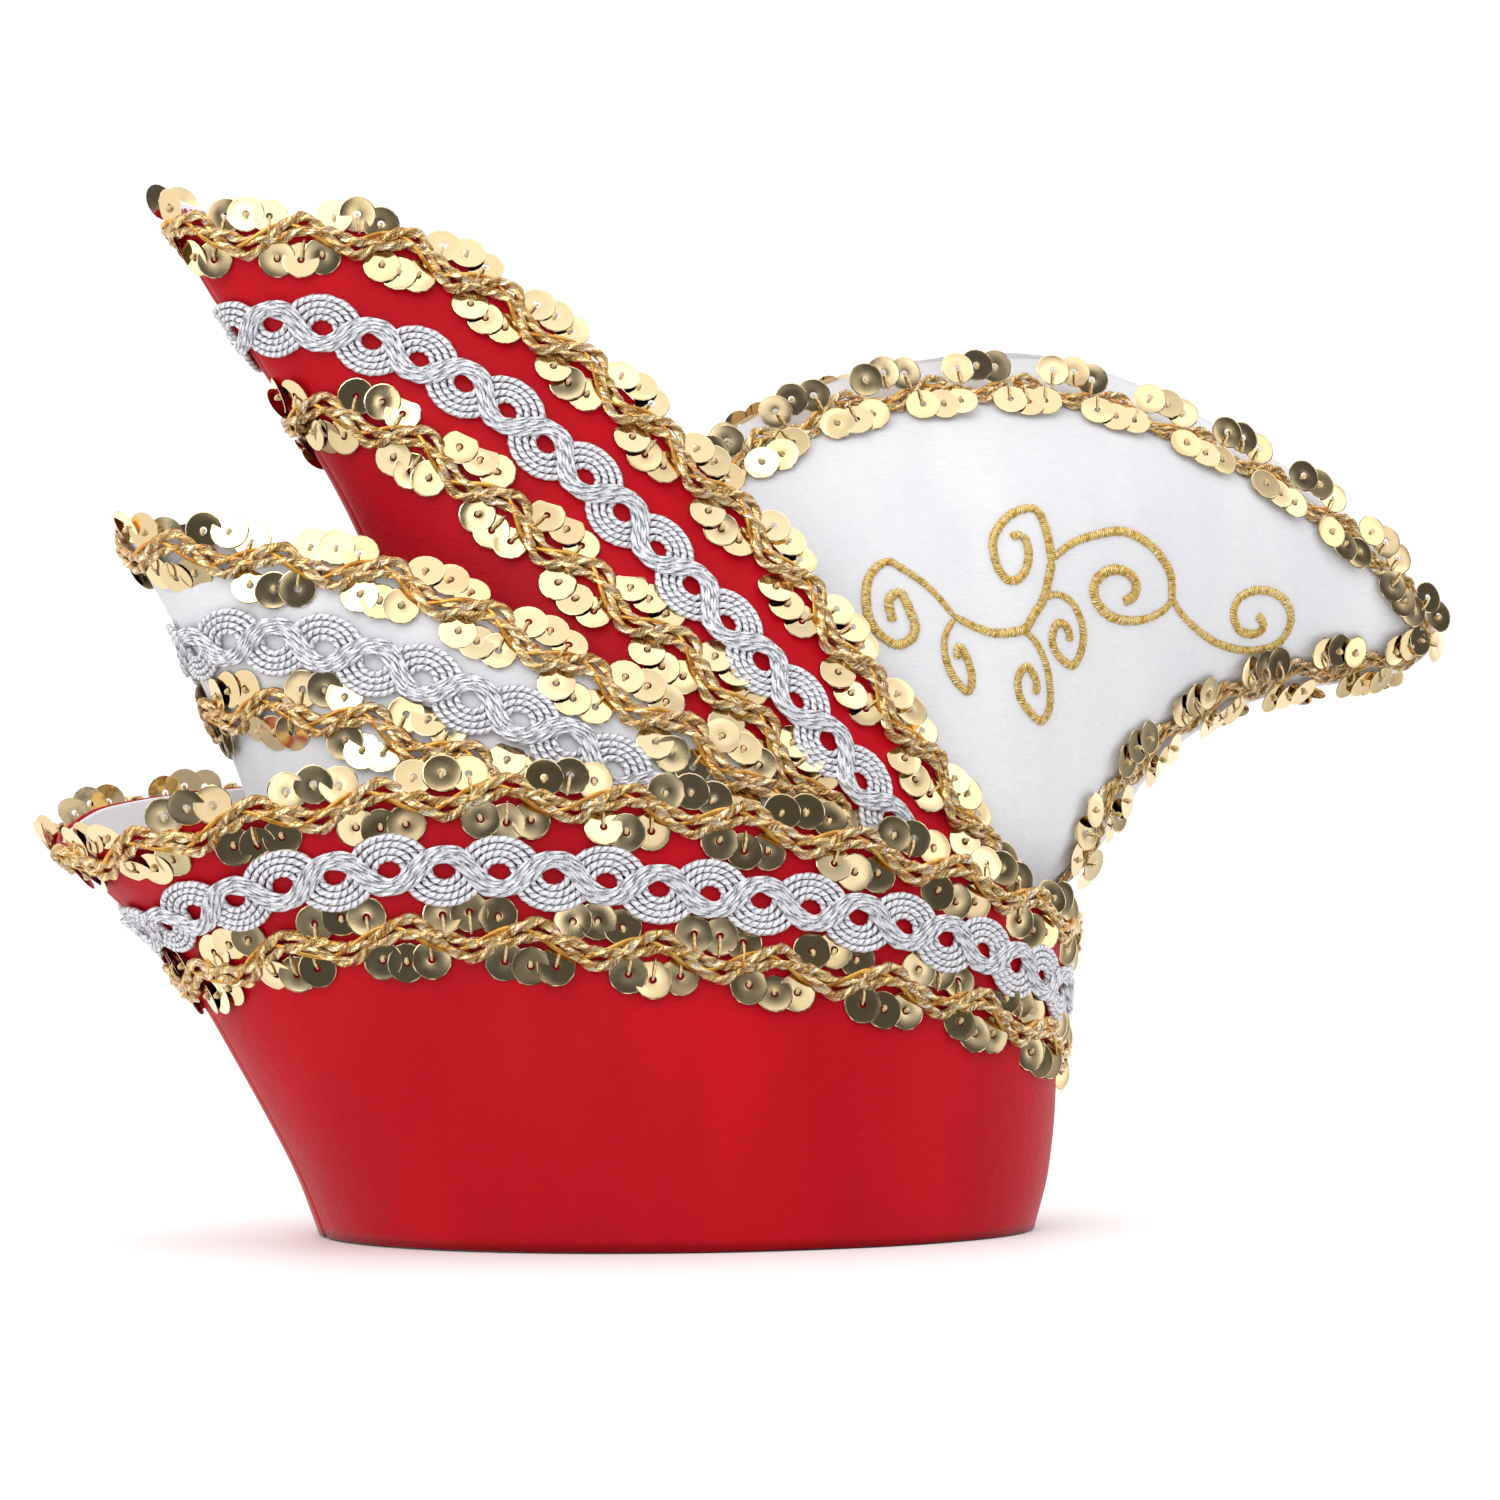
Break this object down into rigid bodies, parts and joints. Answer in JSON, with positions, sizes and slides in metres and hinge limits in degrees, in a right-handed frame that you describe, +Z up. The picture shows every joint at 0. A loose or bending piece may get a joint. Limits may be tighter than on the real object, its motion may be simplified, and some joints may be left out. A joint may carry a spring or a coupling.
{
  "type": "carnival committee cap",
  "caption": "Red and white satin carnival cap with nested boat-shaped peaks, a horned crown, gold sequin trim, silver braid and gold scroll embroidery.",
  "frame": {"origin": "middle of the whole length and width, at the level of the rim's underside", "axes": "+X towards the horn at the back, +Y to the side away from the picture, +Z up from the rim"},
  "size_m": [0.405, 0.1562, 0.2681],
  "materials": {
    "red_satin": "satin",
    "white_satin": "satin",
    "white_felt": "matte",
    "gold_trim": "metallic",
    "silver_braid": "metallic"
  },
  "bodies": {
    "root": {"cuff_satin": "red_satin", "cuff_lining": "white_felt", "white_peak": "white_satin", "red_peak_satin": "red_satin", "red_peak_lining": "white_felt", "crown": "white_satin", "cuff_edge_trim": "gold_trim", "cuff_lower_trim": "gold_trim", "cuff_braid": "silver_braid", "white_edge_trim": "gold_trim", "white_lower_trim": "gold_trim", "white_braid": "silver_braid", "red_edge_trim": "gold_trim", "red_lower_trim": "gold_trim", "red_braid": "silver_braid", "crown_trim_near": "gold_trim", "crown_trim_far": "gold_trim", "back_trim_tail": "gold_trim"}
  },
  "joints": []
}
